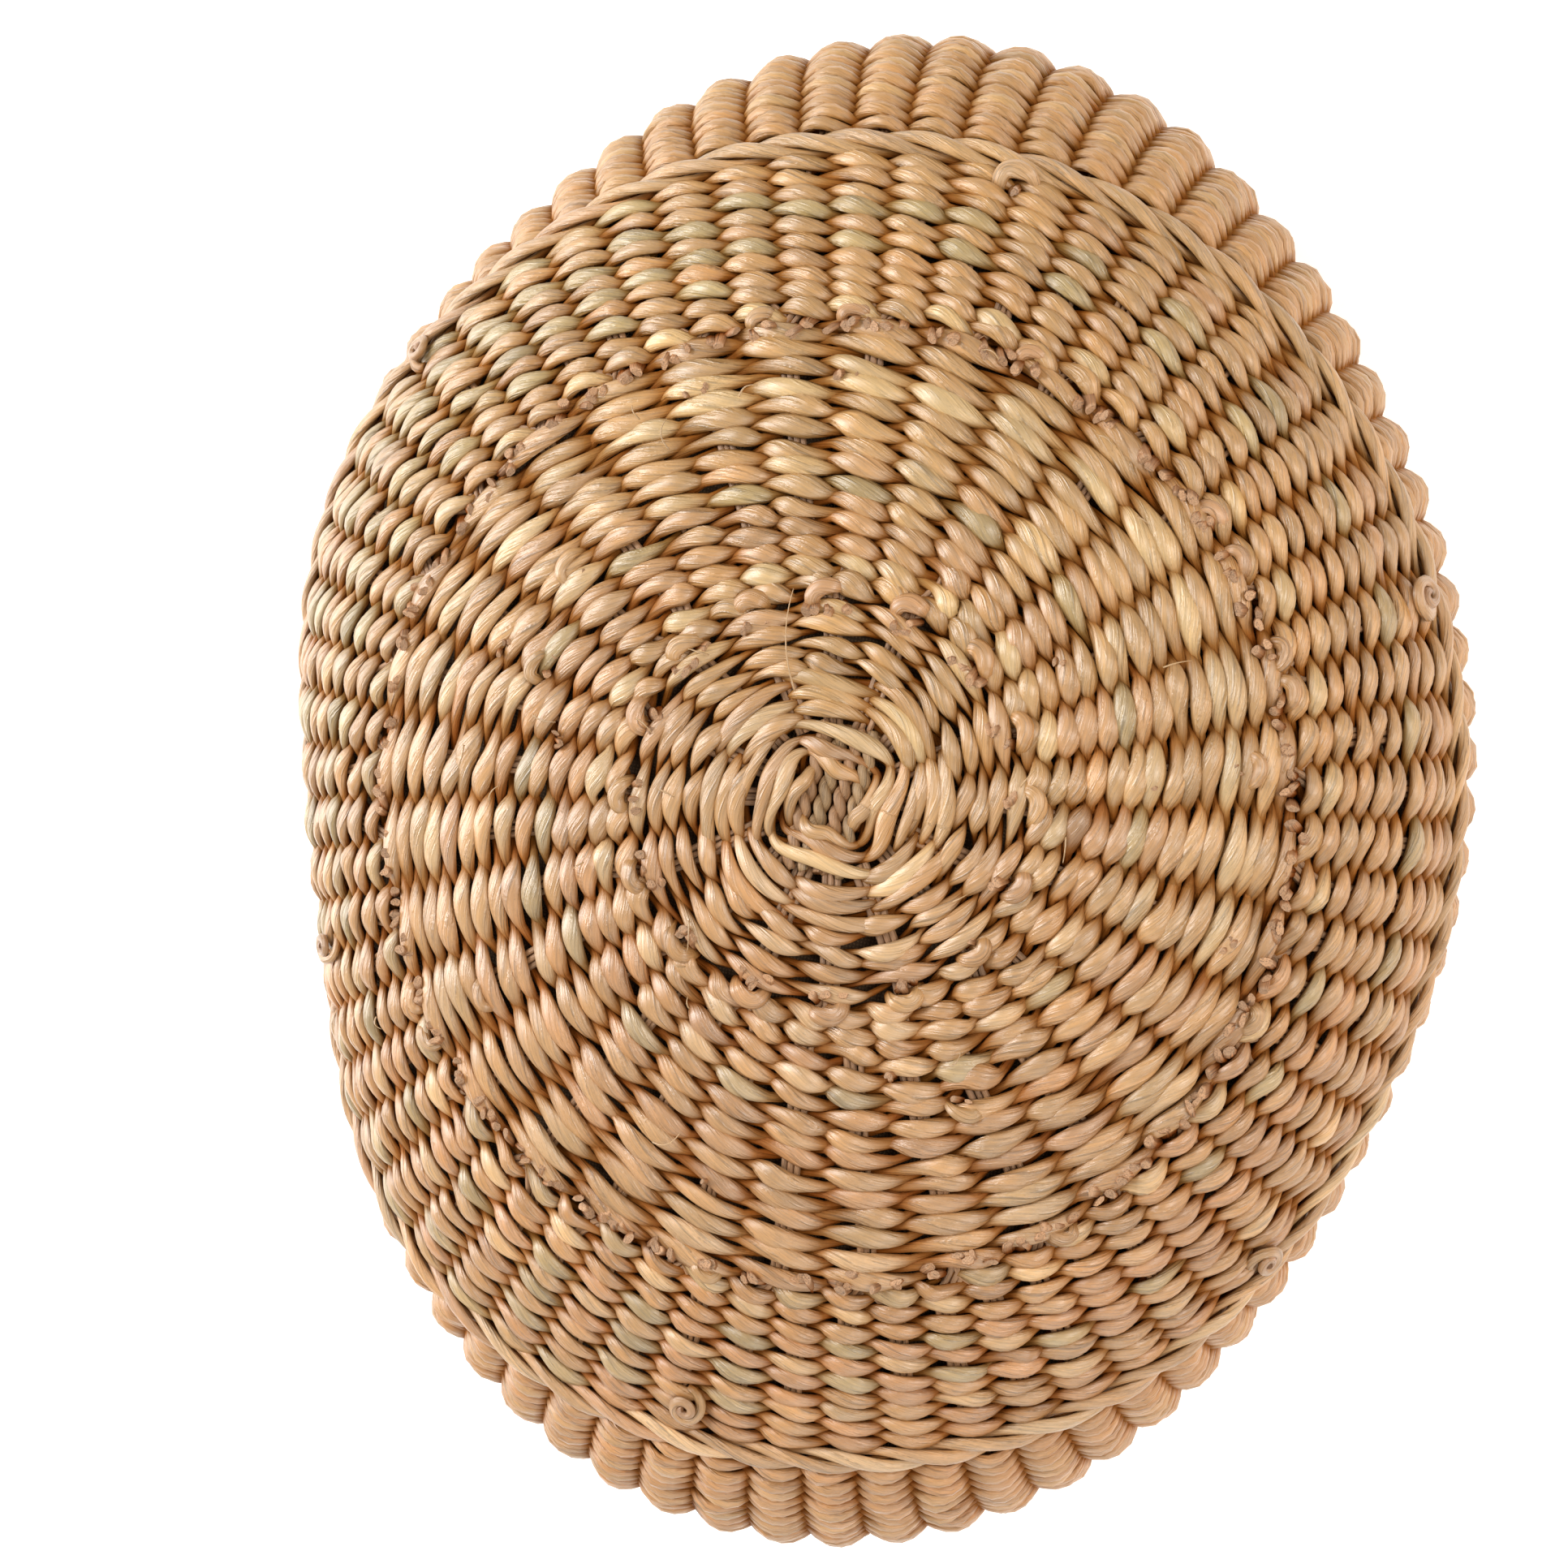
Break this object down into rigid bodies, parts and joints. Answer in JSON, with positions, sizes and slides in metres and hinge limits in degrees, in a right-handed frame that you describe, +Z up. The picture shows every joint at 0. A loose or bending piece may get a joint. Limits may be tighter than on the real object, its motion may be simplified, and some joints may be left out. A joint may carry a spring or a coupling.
{
  "type": "seat pad",
  "caption": "Oval domed seat pad twined from rush over radial stakes, with a rope-like shoulder round and a lined soft filling.",
  "frame": {"origin": "centre of the pad's outline, on the plane it rests on", "axes": "+Z up out of the domed face, +Y along the pad's length, +X across it"},
  "size_m": [0.3621, 0.4567, 0.1299],
  "materials": {
    "rush_warm": "matte",
    "rush_pale": "matte",
    "rush_rope": "matte",
    "stake_stems": "matte",
    "liner_cloth": "matte",
    "filling": "matte"
  },
  "bodies": {
    "root": {"inner_rounds": "rush_warm", "outer_rounds": "rush_warm", "lower_side_rounds": "rush_warm", "underside_outer_rounds": "rush_warm", "underside_inner_rounds": "rush_warm", "underside_centre": "rush_warm", "middle_rounds": "rush_pale", "upper_side_rounds": "rush_pale", "underside_middle_rounds": "rush_pale", "cross_binding_far": "rush_pale", "cross_binding_near": "rush_pale", "shoulder_wale": "rush_rope", "foot_border": "rush_rope", "curled_end_1": "rush_warm", "curled_end_2": "rush_warm", "curled_end_3": "rush_warm", "curled_end_4": "rush_warm", "curled_end_5": "rush_warm", "curled_end_6": "rush_warm", "lengthwise_stake_1": "stake_stems", "lengthwise_stake_2": "stake_stems", "lengthwise_stake_3": "stake_stems", "lengthwise_stake_4": "stake_stems", "crosswise_stake_1": "stake_stems", "crosswise_stake_2": "stake_stems", "crosswise_stake_3": "stake_stems", "crosswise_stake_4": "stake_stems", "added_stake_1": "stake_stems", "added_stake_2": "stake_stems", "added_stake_3": "stake_stems", "added_stake_4": "stake_stems", "added_stake_5": "stake_stems", "added_stake_6": "stake_stems", "added_stake_7": "stake_stems", "added_stake_8": "stake_stems", "added_stake_9": "stake_stems", "added_stake_10": "stake_stems", "added_stake_11": "stake_stems", "added_stake_12": "stake_stems", "added_stake_13": "stake_stems", "added_stake_14": "stake_stems", "added_stake_15": "stake_stems", "added_stake_16": "stake_stems", "underside_long_stake_1": "stake_stems", "underside_long_stake_2": "stake_stems", "underside_long_stake_3": "stake_stems", "underside_long_stake_4": "stake_stems", "underside_cross_stake_1": "stake_stems", "underside_cross_stake_2": "stake_stems", "underside_cross_stake_3": "stake_stems", "underside_cross_stake_4": "stake_stems", "liner_top": "liner_cloth", "liner_bottom": "liner_cloth", "filling": "filling"}
  },
  "joints": []
}
